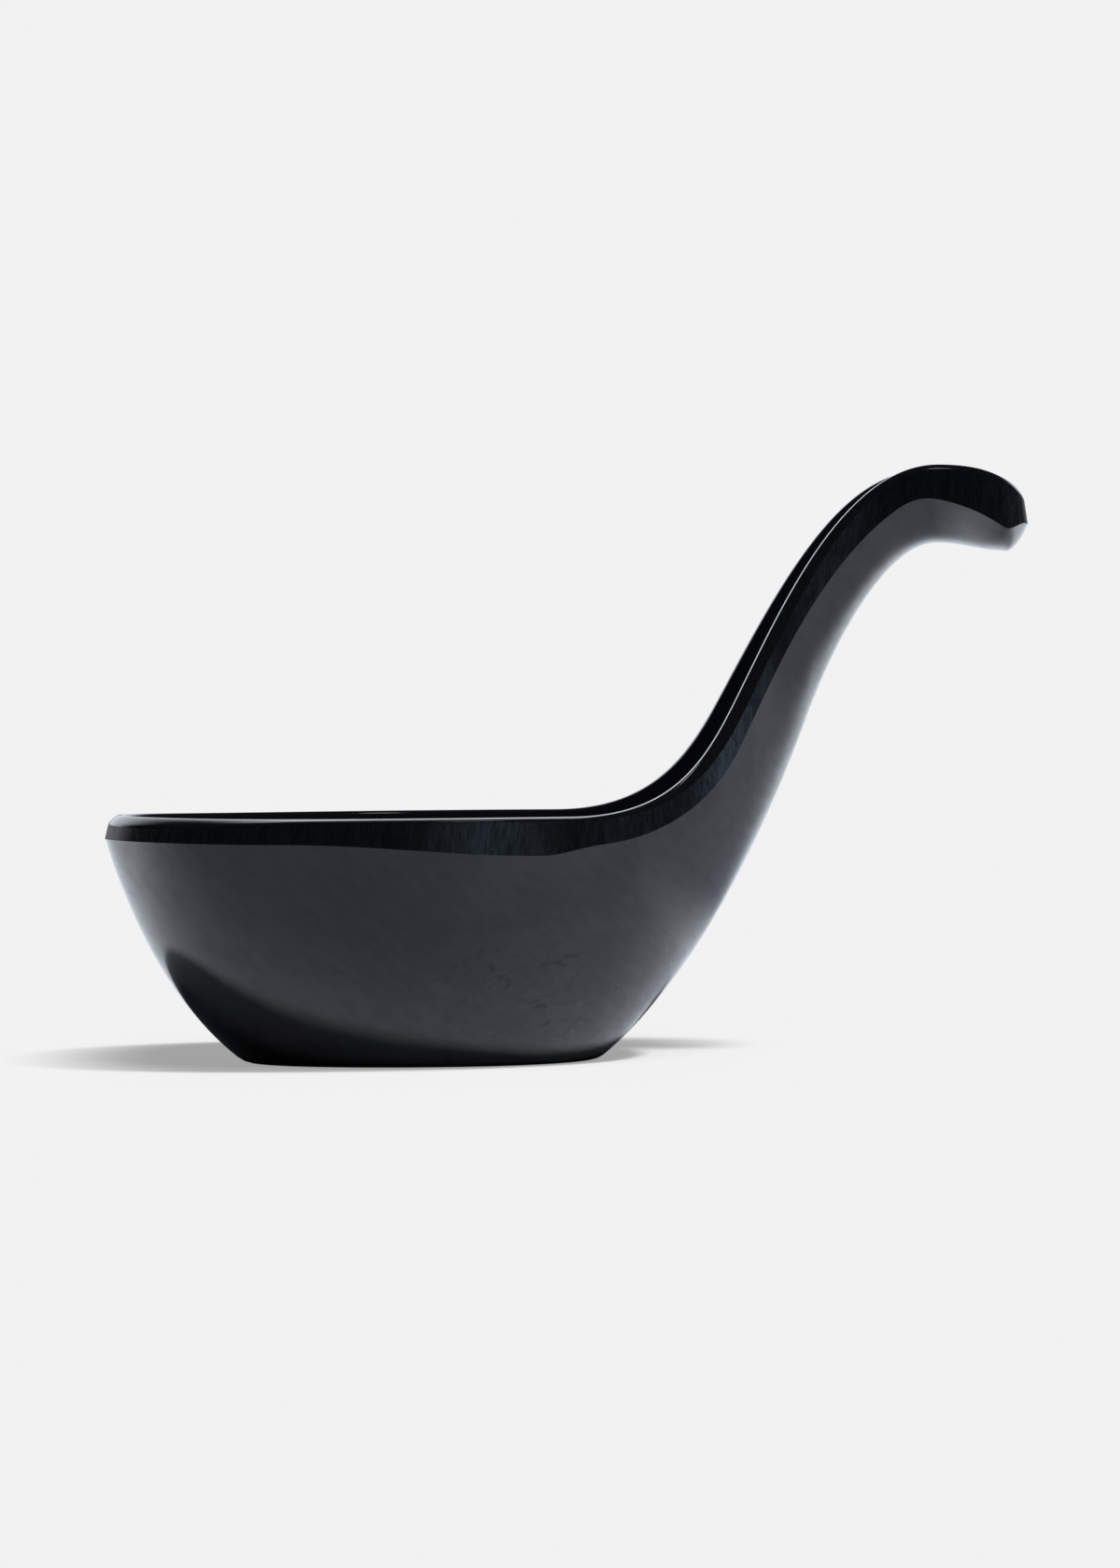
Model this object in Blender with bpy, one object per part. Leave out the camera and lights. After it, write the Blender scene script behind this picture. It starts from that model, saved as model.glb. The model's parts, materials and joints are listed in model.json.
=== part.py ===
"""Tasting spoon: an oval bowl on a flat foot, with a channelled handle that rises from its back.

Two pressed layers make it. outer_body is the shell that stands on the table. inner_lining nests in it,
is the face that food touches, and carries the rim, whose edge is ground upright all round. Both are drawn
from one rim line, one underside line and one plan outline. Distances along the spoon run from the front
tip of the bowl.
"""
import math

import bmesh
import bpy
import numpy as np

MM = 0.001

# Rim line, seen from the side
RIM_HEIGHT = 32.0 * MM
FRONT_LIFT = 0.3 * MM
FRONT_FALL = math.radians(-1.5)
RISE_START = 59.4 * MM
NECK_REACH = 22.85 * MM
NECK_RISE = 17.4 * MM
NECK_ANGLE = math.radians(62.3)
HOOK_REACH = 25.25 * MM
HOOK_RISE = 27.2 * MM
TIP_REACH = 12.8 * MM
TIP_DROP = 3.9 * MM
TIP_ANGLE = math.radians(-33.0)

# Underside line, seen from the side
FRONT_ANGLE = math.radians(73.5)
BOTTOM_AT = 42.9 * MM
NECK_DEPTH = 10.3 * MM
NECK_FLARE = math.radians(7.0)
HOOK_DEPTH = 9.8 * MM
HOOK_SET = 0.9 * MM
TIP_DEPTH = 7.05 * MM
TIP_SET = 2.8 * MM
TIP_UNDER_ANGLE = math.radians(-4.0)
TIP_END_ANGLE = math.radians(82.0)

# Plan outline as moulded, before the edge is ground
BOWL_WIDTH = 55.0 * MM
WIDEST_AT = 40.0 * MM
NECK_WIDTH = 23.6 * MM
NECK_END = 10.5 * MM

# Plan outline of the ground tip
TIP_WIDTH = 18.4 * MM
TIP_ROUND = 9.0 * MM

# Height of the ground band, square to the rim line
BAND_FRONT = 3.1 * MM
BAND_SIDE = 3.15 * MM
BAND_DIP = 4.75 * MM
BAND_ROOT = 3.65 * MM
BAND_NECK = 3.1 * MM
BAND_STEP = 4.2 * MM
BAND_HOOK = 4.1 * MM
BAND_TIP = 6.0 * MM
BAND_END = 3.2 * MM
BAND_LEAN = 0.4 * MM

# Where along the spoon those heights are reached
SIDE_AT = 24.0 * MM
DIP_BEFORE_RISE = 3.9 * MM
ROOT_AFTER_RISE = 3.6 * MM
THIN_AFTER_NECK = 3.1 * MM
STEP_BEFORE_HOOK = 6.4 * MM
STEP_LENGTH = 2.1 * MM
TIP_BEFORE_END = 4.3 * MM

# Rim between the ground band and the inside
RIM_WIDTH = 2.5 * MM
RIM_EDGE = 0.7 * MM
RIM_FALL = 0.3 * MM
RIM_BEND = 1.5
BEVEL_NECK = 1.25 * MM
BEVEL_HOOK = 0.5 * MM
BEVEL_SHARE = 0.45
BEVEL_BEND = 1.2

# Walls and foot
BODY_WALL = 1.5 * MM
LAYER_GAP = 0.3 * MM
BOWL_WALL = 3.0 * MM
BOWL_FLOOR = 3.6 * MM
NECK_FLOOR = 4.2 * MM
HOOK_FLOOR = 5.4 * MM
TIP_FLOOR = 5.0 * MM
FOOT_WIDTH = 24.4 * MM
FOOT_RING = 3.0 * MM
FOOT_RECESS = 0.5 * MM
FOOT_ROUND = 0.8 * MM
LAYER_ROUND = 1.5 * MM
BOWL_ROUND = 3.0 * MM

# Facets: stations along the spoon, and rails down each face
NOSE_STATIONS = 10
FOOT_STATIONS = 18
NECK_STATIONS = 20
TIP_STATIONS = 10
FACE_RAILS = 9
LAYER_RAILS = 7
RIM_RAILS = 5
EDGE_RAILS = 2
CURVE_STEPS = 120
OUTLINE_STEPS = 1600
SLOPE_STEP = 0.1 * MM
SAME_POINT = 0.001 * MM

BLACK = (0.004, 0.004, 0.005, 1.0)
BODY_ROUGHNESS = 0.12
LINING_ROUGHNESS = 0.2
CREASE_ANGLE = math.radians(28.0)

NECK_AT = RISE_START + NECK_REACH
HOOK_AT = NECK_AT + HOOK_REACH
LENGTH = HOOK_AT + TIP_REACH
NECK_HEIGHT = RIM_HEIGHT + NECK_RISE
HOOK_HEIGHT = NECK_HEIGHT + HOOK_RISE
TIP_HEIGHT = HOOK_HEIGHT - TIP_DROP


def curve(anchors):
    """Points of cubic spans through anchors of place, height, heading and pulls behind and ahead.

    A pull is the length of a handle as a share of the straight distance to the next anchor.
    """
    spans = []
    t = np.linspace(0.0, 1.0, CURVE_STEPS)[:, None]
    for (x0, z0, turn0, _, ahead), (x1, z1, turn1, behind, _) in zip(anchors, anchors[1:]):
        start = np.array((x0, z0))
        end = np.array((x1, z1))
        chord = np.linalg.norm(end - start)
        lead = start + chord * ahead * np.array((math.cos(turn0), math.sin(turn0)))
        trail = end - chord * behind * np.array((math.cos(turn1), math.sin(turn1)))
        near = (1 - t) ** 3 * start + 3 * (1 - t) ** 2 * t * lead
        far = 3 * (1 - t) * t ** 2 * trail + t ** 3 * end
        spans.append(near + far)
    return np.concatenate(spans)


def ease(x, knots):
    """Value at x of a line that runs level through each knot and eases from one to the next."""
    place, value = np.array(knots).T
    i = np.clip(np.searchsorted(place, x, side="right") - 1, 0, len(place) - 2)
    t = np.clip((x - place[i]) / (place[i + 1] - place[i]), 0.0, 1.0)
    return value[i] + (value[i + 1] - value[i]) * t * t * (3 - 2 * t)


RIM_LINE = curve([
    (0.0, RIM_HEIGHT + FRONT_LIFT, FRONT_FALL, 0.0, 0.3),
    (RISE_START, RIM_HEIGHT, 0.0, 0.6, 0.5),
    (NECK_AT, NECK_HEIGHT, NECK_ANGLE, 0.345, 0.38),
    (HOOK_AT, HOOK_HEIGHT, 0.0, 0.29, 0.41),
    (LENGTH, TIP_HEIGHT, TIP_ANGLE, 0.36, 0.0),
])


def rim_height(x):
    return np.interp(x, RIM_LINE[:, 0], RIM_LINE[:, 1])


def upright(x):
    """How many times taller a size grows when it is set square to the rim and measured straight up."""
    slope = (rim_height(x + SLOPE_STEP) - rim_height(x - SLOPE_STEP)) / (2 * SLOPE_STEP)
    return np.sqrt(1 + slope ** 2)


def band_foot(x):
    """Height of the lower edge of the ground band."""
    knots = [
        (0.0, BAND_FRONT),
        (SIDE_AT, BAND_SIDE),
        (RISE_START - DIP_BEFORE_RISE, BAND_DIP),
        (RISE_START + ROOT_AFTER_RISE, BAND_ROOT),
        (NECK_AT + THIN_AFTER_NECK, BAND_NECK),
        (HOOK_AT - STEP_BEFORE_HOOK, BAND_STEP),
        (HOOK_AT - STEP_BEFORE_HOOK + STEP_LENGTH, BAND_HOOK),
        (LENGTH - TIP_BEFORE_END, BAND_TIP),
        (LENGTH, BAND_END),
    ]
    return rim_height(x) - ease(x, knots) * upright(x)


def bevel_fall(x):
    """How far the bevel along the handle, between the rim's top and the ground band, falls."""
    knots = [
        (0.0, 0.0),
        (RISE_START, 0.0),
        (NECK_AT, BEVEL_NECK),
        (HOOK_AT, BEVEL_HOOK),
        (LENGTH, BEVEL_HOOK),
    ]
    return ease(x, knots)


def rim_fall(x, step):
    """How far the rim lies below its crest, where step runs from the ground band to the crest."""
    bevel = max(1 - step / BEVEL_SHARE, 0.0) ** BEVEL_BEND
    return (RIM_FALL * (1 - step) ** RIM_BEND + bevel_fall(x) * bevel) * upright(x)


def keel_line(inset, top, bottom, neck, hook, tip):
    """Underside line of one face, whose upper edge lies inset from the ground outline.

    bottom, neck, hook and tip say how far the face lies above the outer face at those places. Under the
    bowl the line runs on below the table, as the hull would without its foot.
    """
    foot_share = (FOOT_WIDTH / BOWL_WIDTH) ** 2
    virtual_depth = RIM_HEIGHT * foot_share / (1 - foot_share)
    depth = NECK_DEPTH - neck
    neck_at = NECK_AT + depth * math.sin(NECK_ANGLE)
    neck_height = NECK_HEIGHT - depth * math.cos(NECK_ANGLE)
    end = LENGTH - inset
    return curve([
        (inset, float(top(inset)), -FRONT_ANGLE, 0.0, 0.44),
        (BOTTOM_AT, bottom - virtual_depth, 0.0, 0.395, 0.32),
        (neck_at, neck_height, NECK_ANGLE + NECK_FLARE, 0.41, 0.34),
        (HOOK_AT + HOOK_SET, HOOK_HEIGHT - HOOK_DEPTH + hook, 0.0, 0.24, 0.415),
        (end - TIP_SET, TIP_HEIGHT - TIP_DEPTH + tip, TIP_UNDER_ANGLE, 0.54, 0.24),
        (end, float(top(end)), TIP_END_ANGLE, 0.21, 0.0),
    ])


def moulded_half_width(x):
    """Half the width at rim height, before grinding: half an oval and a long taper into the neck."""
    nose = -BAND_FRONT / math.tan(FRONT_ANGLE)
    taper = curve([
        (WIDEST_AT, BOWL_WIDTH / 2, 0.0, 0.0, 0.63),
        (HOOK_AT - NECK_END, NECK_WIDTH / 2, 0.0, 0.27, 0.0),
    ])
    front = np.clip((WIDEST_AT - x) / (WIDEST_AT - nose), 0.0, 1.0)
    return np.interp(x, taper[:, 0], taper[:, 1]) * np.sqrt(1 - front ** 2)


def ground_outline():
    """Plan outline where the upright ground band cuts the moulded form, eased into a round tip."""
    outer_keel = keel_line(0.0, band_foot, 0.0, 0.0, 0.0, 0.0)
    x = LENGTH * (1 - np.cos(np.linspace(0.0, math.pi, OUTLINE_STEPS))) / 2
    keel = np.interp(x, outer_keel[:, 0], outer_keel[:, 1])
    cut_height = rim_height(x) - BAND_FRONT * upright(x)
    share = (cut_height - keel) / (rim_height(x) - keel)
    cut = moulded_half_width(x) * np.sqrt(np.clip(share, 0.0, None))
    past_shoulder = np.clip((x - LENGTH + TIP_ROUND) / TIP_ROUND, 0.0, 1.0)
    tip = TIP_WIDTH / 2 * np.sqrt(1 - past_shoulder ** 2)
    return x, cut + (tip - cut) * ease(x, [(NECK_AT, 0.0), (HOOK_AT, 1.0)])


GROUND_X, GROUND_HALF = ground_outline()


def half_width(inset, x):
    """Half the width at x of the ground outline, moved in by inset all round."""
    along = np.gradient(GROUND_X)
    out = np.gradient(GROUND_HALF)
    out[[0, -1]] = 1.0, -1.0
    along[[0, -1]] = 0.0
    size = np.hypot(along, out)
    moved_x = GROUND_X + inset * out / size
    moved_half = GROUND_HALF - inset * along / size
    moved_half[[0, -1]] = 0.0
    return np.sqrt(np.interp(x, moved_x, moved_half ** 2))


def soft_floor(level, floor, rounding):
    """Height of a wall that comes down to level and turns into a flat floor through a rounded corner."""
    over = level - floor
    turn = np.clip(over + rounding, 0.0, None) ** 2 / (4 * rounding)
    return floor + np.where(over > rounding, over, turn)


def stations(nose, foot_front, foot_back, tip):
    """Places along one face, closer together at its round ends and at the ends of its floor."""
    bend = tip - TIP_REACH
    nose_steps = np.linspace(0.0, 1.0, NOSE_STATIONS, endpoint=False) ** 2
    foot_steps = (1 - np.cos(np.linspace(0.0, math.pi, FOOT_STATIONS, endpoint=False))) / 2
    neck_steps = np.linspace(0.0, 1.0, NECK_STATIONS, endpoint=False)
    tip_steps = 1 - np.linspace(1.0, 0.0, TIP_STATIONS + 1) ** 2
    return np.concatenate([
        nose + (foot_front - nose) * nose_steps,
        foot_front + (foot_back - foot_front) * foot_steps,
        foot_back + (bend - foot_back) * neck_steps,
        bend + (tip - bend) * tip_steps,
    ])


def loop(x, half, z):
    """Closed run of points up one side of the spoon and back down the other."""
    there = np.column_stack((x - LENGTH / 2, half, z))
    back = there[-2:0:-1] * (1, -1, 1)
    return np.concatenate((there, back))


def face_of_shell(inset, top, rise, floor, rounding, rails):
    """Loops of one face, from its upper edge down to its keel and flat floor, and its stations."""
    keel = keel_line(inset, top, *rise)
    flat = floor - rounding
    under = np.flatnonzero(keel[:, 1] < flat)
    before = keel[[under[0], under[0] - 1]]
    after = keel[[under[-1], under[-1] + 1]]
    foot_front = np.interp(flat, before[:, 1], before[:, 0])
    foot_back = np.interp(flat, after[:, 1], after[:, 0])
    x = stations(inset, foot_front, foot_back, LENGTH - inset)
    edge_half = half_width(inset, x)
    edge_height = top(x)
    keel_height = np.minimum(np.interp(x, keel[:, 0], keel[:, 1]), edge_height)
    on_floor = np.zeros(len(x), dtype=bool)
    on_floor[NOSE_STATIONS + 1:NOSE_STATIONS + FOOT_STATIONS] = True
    lowest = np.where(on_floor, flat, keel_height)
    loops = []
    for down in np.linspace(1.0, 0.0, rails + 1):
        level = lowest + (edge_height - lowest) * down ** 2
        span = np.where(on_floor, edge_height - keel_height, 1.0)
        share = np.where(on_floor, (level - keel_height) / span, down ** 2)
        loops.append(loop(x, edge_half * np.sqrt(share), soft_floor(level, floor, rounding)))
    return loops, x


def rim_loops(outer_x, inner_x):
    """Loops over the rim, from the top of the ground band to just short of the inside face."""
    places = []
    crest = RIM_WIDTH - RIM_EDGE
    for step in np.linspace(0.0, 1.0, RIM_RAILS + 1):
        places.append((BAND_LEAN + (crest - BAND_LEAN) * step, step, 0.0))
    for turn in np.linspace(0.0, math.pi / 2, EDGE_RAILS + 1)[1:-1]:
        places.append((crest + RIM_EDGE * math.sin(turn), 1.0, 1 - math.cos(turn)))
    loops = []
    for inset, step, turned in places:
        x = outer_x + (inner_x - outer_x) * inset / RIM_WIDTH
        drop = rim_fall(x, step) + RIM_EDGE * turned * upright(x)
        loops.append(loop(x, half_width(inset, x), rim_height(x) - drop))
    return loops


def floor_corners(row):
    """The points of a row that lie round the flat floor, in order."""
    first = NOSE_STATIONS
    last = NOSE_STATIONS + FOOT_STATIONS
    return row[first:last + 1] + [row[len(row) - i] for i in range(last - 1, first, -1)]


def sunken_foot(mesh, corners):
    """Foot ring on the table round a shallow recess."""
    places = np.array([corner.co[:] for corner in corners])
    middle = (places.max(axis=0) + places.min(axis=0)) / 2
    reach = (places.max(axis=0) - places.min(axis=0)) / 2
    ring = corners
    for inset, lift in ((FOOT_RING, 0.0), (FOOT_RING + FOOT_RECESS, FOOT_RECESS)):
        scale = 1 - np.array((inset / reach[0], inset / reach[1], 0.0))
        inner = [mesh.verts.new(middle + (p - middle) * scale + (0, 0, lift)) for p in places]
        bridge(mesh, ring, inner)
        ring = inner
    mesh.faces.new(ring)


def bridge(mesh, first, second):
    count = len(first)
    for i in range(count):
        j = (i + 1) % count
        mesh.faces.new((first[i], first[j], second[j], second[i]))


def make_shell(name, loops, close_start, material):
    """Closed body through the loops: floors close its ends, and elsewhere its sides meet at the keel."""
    mesh = bmesh.new()
    rows = [[mesh.verts.new(point) for point in points] for points in loops]
    for first, second in zip(rows, rows[1:]):
        bridge(mesh, first, second)
    close_start(mesh, floor_corners(rows[0]))
    mesh.faces.new(floor_corners(rows[-1]))
    bmesh.ops.remove_doubles(mesh, verts=mesh.verts, dist=SAME_POINT)
    bmesh.ops.recalc_face_normals(mesh, faces=mesh.faces)
    data = bpy.data.meshes.new(name)
    mesh.to_mesh(data)
    mesh.free()
    data.shade_smooth()
    data.set_sharp_from_angle(angle=CREASE_ANGLE)
    data.materials.append(material)
    shell = bpy.data.objects.new(name, data)
    bpy.context.collection.objects.link(shell)
    return shell


def black_moulding(name, roughness):
    material = bpy.data.materials.new(name)
    material.use_nodes = True
    shader = material.node_tree.nodes["Principled BSDF"]
    shader.inputs["Base Color"].default_value = BLACK
    shader.inputs["Roughness"].default_value = roughness
    shader.inputs["Metallic"].default_value = 0.0
    return material


def lining_foot(x):
    """Height of the lining's ledge, which seats on the upper edge of the body."""
    return band_foot(x) + LAYER_GAP * upright(x)


def inside_edge(x):
    """Height where the rim's rounded inner edge meets the inside face."""
    return rim_height(x) - RIM_EDGE * upright(x)


def build():
    for old in list(bpy.data.objects):
        bpy.data.objects.remove(old)
    seat = BODY_WALL + LAYER_GAP
    body_floor = FOOT_RECESS + BODY_WALL
    seat_floor = body_floor + LAYER_GAP
    channel = (BOWL_WALL, NECK_FLOOR, HOOK_FLOOR, TIP_FLOOR)
    outside, outer_x = face_of_shell(0.0, band_foot, (0.0,) * 4, 0.0, FOOT_ROUND, FACE_RAILS)
    socket, _ = face_of_shell(BODY_WALL, band_foot, (BODY_WALL,) * 4, body_floor, LAYER_ROUND, LAYER_RAILS)
    back, _ = face_of_shell(seat, lining_foot, (seat,) * 4, seat_floor, LAYER_ROUND, LAYER_RAILS)
    inside, inner_x = face_of_shell(RIM_WIDTH, inside_edge, channel, BOWL_FLOOR, BOWL_ROUND, FACE_RAILS)
    ledge = loop(outer_x, half_width(0.0, outer_x), lining_foot(outer_x))
    rim = rim_loops(outer_x, inner_x)

    spoon = bpy.data.objects.new("tasting_spoon", None)
    bpy.context.collection.objects.link(spoon)
    body = make_shell(
        "outer_body",
        outside[::-1] + socket,
        sunken_foot,
        black_moulding("body_black", BODY_ROUGHNESS),
    )
    lining = make_shell(
        "inner_lining",
        inside[::-1] + rim[::-1] + [ledge] + back,
        lambda mesh, corners: mesh.faces.new(corners),
        black_moulding("lining_black", LINING_ROUGHNESS),
    )
    for piece in (body, lining):
        piece.parent = spoon


build()
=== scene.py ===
import json
import math

import bmesh
import bpy
import numpy as np
from mathutils import Matrix, Vector

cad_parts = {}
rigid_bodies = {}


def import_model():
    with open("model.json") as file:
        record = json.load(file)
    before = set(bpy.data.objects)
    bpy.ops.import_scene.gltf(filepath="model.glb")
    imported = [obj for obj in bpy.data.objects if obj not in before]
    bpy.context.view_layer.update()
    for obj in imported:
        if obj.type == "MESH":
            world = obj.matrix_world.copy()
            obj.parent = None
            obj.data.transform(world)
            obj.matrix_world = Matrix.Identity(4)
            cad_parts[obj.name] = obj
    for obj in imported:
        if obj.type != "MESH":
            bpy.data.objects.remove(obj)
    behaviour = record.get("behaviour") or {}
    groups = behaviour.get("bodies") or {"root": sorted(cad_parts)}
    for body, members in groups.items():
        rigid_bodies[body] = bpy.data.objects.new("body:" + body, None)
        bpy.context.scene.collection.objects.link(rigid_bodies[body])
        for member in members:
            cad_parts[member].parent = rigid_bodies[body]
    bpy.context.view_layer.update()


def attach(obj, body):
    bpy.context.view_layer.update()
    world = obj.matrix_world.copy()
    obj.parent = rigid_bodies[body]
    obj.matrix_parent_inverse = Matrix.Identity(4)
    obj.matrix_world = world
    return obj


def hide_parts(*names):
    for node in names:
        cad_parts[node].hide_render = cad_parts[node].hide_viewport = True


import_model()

mm = 0.001

# The spoon's own lines, shared by both pressed layers
# places run from the bowl's front tip, in millimetres; angles in degrees

rimLineForm = {
    "height": 32.0,
    "frontLift": 0.3,
    "frontAngle": -1.5,
    "riseStart": 59.4,
    "neckReach": 22.85,
    "neckRise": 17.4,
    "neckAngle": 62.3,
    "hookReach": 25.25,
    "hookRise": 27.2,
    "tipReach": 12.8,
    "tipDrop": 3.9,
    "tipAngle": -33.0,
    "frontPull": (0.0, 0.3),     # pulls on the curve behind and ahead, in shares of the span
    "risePull": (0.6, 0.5),
    "neckPull": (0.345, 0.38),
    "hookPull": (0.29, 0.41),
    "tipPull": (0.36, 0.0),
}

undersideForm = {
    "frontAngle": 73.5,
    "bottomAt": 42.9,
    "neckDepth": 10.3,
    "neckFlare": 7.0,
    "hookDepth": 9.8,
    "hookSet": 0.9,
    "tipDepth": 7.05,
    "tipSet": 2.8,
    "tipUnderAngle": -4.0,
    "tipEndAngle": 82.0,
    "footWidth": 24.4,
    "frontPull": (0.0, 0.44),
    "bottomPull": (0.395, 0.32),
    "neckPull": (0.41, 0.34),
    "hookPull": (0.24, 0.415),
    "tipPull": (0.54, 0.24),
    "endPull": (0.21, 0.0),
}

planForm = {
    "bowlWidth": 55.0,       # as moulded, before the edge is ground
    "widestAt": 40.0,
    "neckWidth": 23.6,
    "neckEnd": 10.5,
    "tipWidth": 18.4,        # as ground
    "tipRound": 9.0,
    "widestPull": (0.0, 0.63),
    "neckPull": (0.27, 0.0),
}

bandForm = {                 # ground band: its height square to the rim
    "front": 3.1,
    "side": 3.15,
    "dip": 4.75,
    "root": 3.65,
    "neck": 3.1,
    "step": 4.2,
    "hook": 4.1,
    "tip": 6.0,
    "end": 3.2,
    "lean": 0.4,             # inwards, from its foot to its top
    "sideAt": 24.0,          # where along the spoon each height is reached
    "dipBeforeRise": 3.9,
    "rootAfterRise": 3.6,
    "thinAfterNeck": 3.1,
    "stepBeforeHook": 6.4,
    "stepLength": 2.1,
    "tipBeforeEnd": 4.3,
}

rimForm = {                  # rounded top between the band and the inside
    "width": 2.5,
    "innerEdge": 0.7,
    "outerEdge": 0.22,
    "fall": 0.3,
    "fallBend": 1.5,
    "neckFall": 0.40,        # share of the fall along the handle
    "frontFall": 0.85,       # more at the bowl's front
    "frontFlat": 6.0,
    "frontEnd": 27.0,
    "bevelNeck": 1.25,       # opens along the handle, between the top and the band
    "bevelHook": 0.5,
    "bevelShare": 0.45,
    "bevelBend": 1.2,
}

neckAt = rimLineForm["riseStart"] + rimLineForm["neckReach"]
hookAt = neckAt + rimLineForm["hookReach"]
spoonLength = hookAt + rimLineForm["tipReach"]
frontHeight = rimLineForm["height"] + rimLineForm["frontLift"]
neckHeight = rimLineForm["height"] + rimLineForm["neckRise"]
hookHeight = neckHeight + rimLineForm["hookRise"]
tipHeight = hookHeight - rimLineForm["tipDrop"]


def smoothCurve(anchors, steps=600):
    # cubic spans; an anchor is place, height, heading and its pulls behind and ahead
    spans = []
    t = np.linspace(0.0, 1.0, steps)[:, None]
    for (x0, z0, turn0, _, ahead), (x1, z1, turn1, behind, _) in zip(anchors, anchors[1:]):
        start = np.array((x0, z0))
        end = np.array((x1, z1))
        chord = np.linalg.norm(end - start)
        a0 = math.radians(turn0)
        a1 = math.radians(turn1)
        lead = start + chord * ahead * np.array((math.cos(a0), math.sin(a0)))
        trail = end - chord * behind * np.array((math.cos(a1), math.sin(a1)))
        near = (1 - t) ** 3 * start + 3 * (1 - t) ** 2 * t * lead
        far = 3 * (1 - t) * t ** 2 * trail + t ** 3 * end
        spans.append(near + far)
    return np.concatenate(spans)


def easeAlong(x, knots):
    place, value = np.array(knots).T
    i = np.clip(np.searchsorted(place, x, side="right") - 1, 0, len(place) - 2)
    t = np.clip((x - place[i]) / (place[i + 1] - place[i]), 0.0, 1.0)
    return value[i] + (value[i + 1] - value[i]) * t * t * (3 - 2 * t)


rimLine = smoothCurve([
    (0.0, frontHeight, rimLineForm["frontAngle"], *rimLineForm["frontPull"]),
    (rimLineForm["riseStart"], rimLineForm["height"], 0.0, *rimLineForm["risePull"]),
    (neckAt, neckHeight, rimLineForm["neckAngle"], *rimLineForm["neckPull"]),
    (hookAt, hookHeight, 0.0, *rimLineForm["hookPull"]),
    (spoonLength, tipHeight, rimLineForm["tipAngle"], *rimLineForm["tipPull"]),
])


def rimHeight(x):
    return np.interp(x, rimLine[:, 0], rimLine[:, 1])


def uprightShare(x, reach=0.25):
    # a size square to the rim grows by this much when it is measured straight up
    slope = (rimHeight(x + reach) - rimHeight(x - reach)) / (2 * reach)
    return np.sqrt(1 + slope ** 2)


def bandFoot(x):
    rise = rimLineForm["riseStart"]
    stepAt = hookAt - bandForm["stepBeforeHook"]
    tall = easeAlong(x, [
        (0.0, bandForm["front"]),
        (bandForm["sideAt"], bandForm["side"]),
        (rise - bandForm["dipBeforeRise"], bandForm["dip"]),
        (rise + bandForm["rootAfterRise"], bandForm["root"]),
        (neckAt + bandForm["thinAfterNeck"], bandForm["neck"]),
        (stepAt, bandForm["step"]),
        (stepAt + bandForm["stepLength"], bandForm["hook"]),
        (spoonLength - bandForm["tipBeforeEnd"], bandForm["tip"]),
        (spoonLength, bandForm["end"]),
    ])
    return rimHeight(x) - tall * uprightShare(x)


def rimFall(x, step):
    # step runs from the band's top to the crest
    bevel = easeAlong(x, [
        (0.0, 0.0),
        (rimLineForm["riseStart"], 0.0),
        (neckAt, rimForm["bevelNeck"]),
        (hookAt, rimForm["bevelHook"]),
        (spoonLength, rimForm["bevelHook"]),
    ])
    front = easeAlong(x, [
        (0.0, rimForm["frontFall"]),
        (rimForm["frontFlat"], rimForm["frontFall"]),
        (rimForm["frontEnd"], 0.0),
        (spoonLength, 0.0),
    ])
    share = easeAlong(x, [
        (0.0, 1.0),
        (rimLineForm["riseStart"], 1.0),
        (neckAt, rimForm["neckFall"]),
        (spoonLength, rimForm["neckFall"]),
    ])
    fall = (rimForm["fall"] * share + front) * (1 - step) ** rimForm["fallBend"]
    bevelled = max(1 - step / rimForm["bevelShare"], 0.0) ** rimForm["bevelBend"]
    return (fall + bevel * bevelled) * uprightShare(x)


def insideEdge(x):
    return rimHeight(x) - rimForm["innerEdge"] * uprightShare(x)


def keelLine(inset, top, rise):
    # underside of one face; under the bowl it runs on below the table, as if there were no foot
    bottom, neck, hook, tip = rise
    form = undersideForm
    footShare = (form["footWidth"] / planForm["bowlWidth"]) ** 2
    belowTable = rimLineForm["height"] * footShare / (1 - footShare)
    neckAngle = rimLineForm["neckAngle"]
    neckDepth = form["neckDepth"] - neck
    neckUnderAt = neckAt + neckDepth * math.sin(math.radians(neckAngle))
    neckUnder = neckHeight - neckDepth * math.cos(math.radians(neckAngle))
    hookUnder = hookHeight - form["hookDepth"] + hook
    tipUnder = tipHeight - form["tipDepth"] + tip
    end = spoonLength - inset
    return smoothCurve([
        (inset, float(top(inset)), -form["frontAngle"], *form["frontPull"]),
        (form["bottomAt"], bottom - belowTable, 0.0, *form["bottomPull"]),
        (neckUnderAt, neckUnder, neckAngle + form["neckFlare"], *form["neckPull"]),
        (hookAt + form["hookSet"], hookUnder, 0.0, *form["hookPull"]),
        (end - form["tipSet"], tipUnder, form["tipUnderAngle"], *form["tipPull"]),
        (end, float(top(end)), form["tipEndAngle"], *form["endPull"]),
    ])


def mouldedHalfWidth(x):
    nose = -bandForm["front"] / math.tan(math.radians(undersideForm["frontAngle"]))
    widest = planForm["widestAt"]
    taper = smoothCurve([
        (widest, planForm["bowlWidth"] / 2, 0.0, *planForm["widestPull"]),
        (hookAt - planForm["neckEnd"], planForm["neckWidth"] / 2, 0.0, *planForm["neckPull"]),
    ])
    front = np.clip((widest - x) / (widest - nose), 0.0, 1.0)
    return np.interp(x, taper[:, 0], taper[:, 1]) * np.sqrt(1 - front ** 2)


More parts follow.
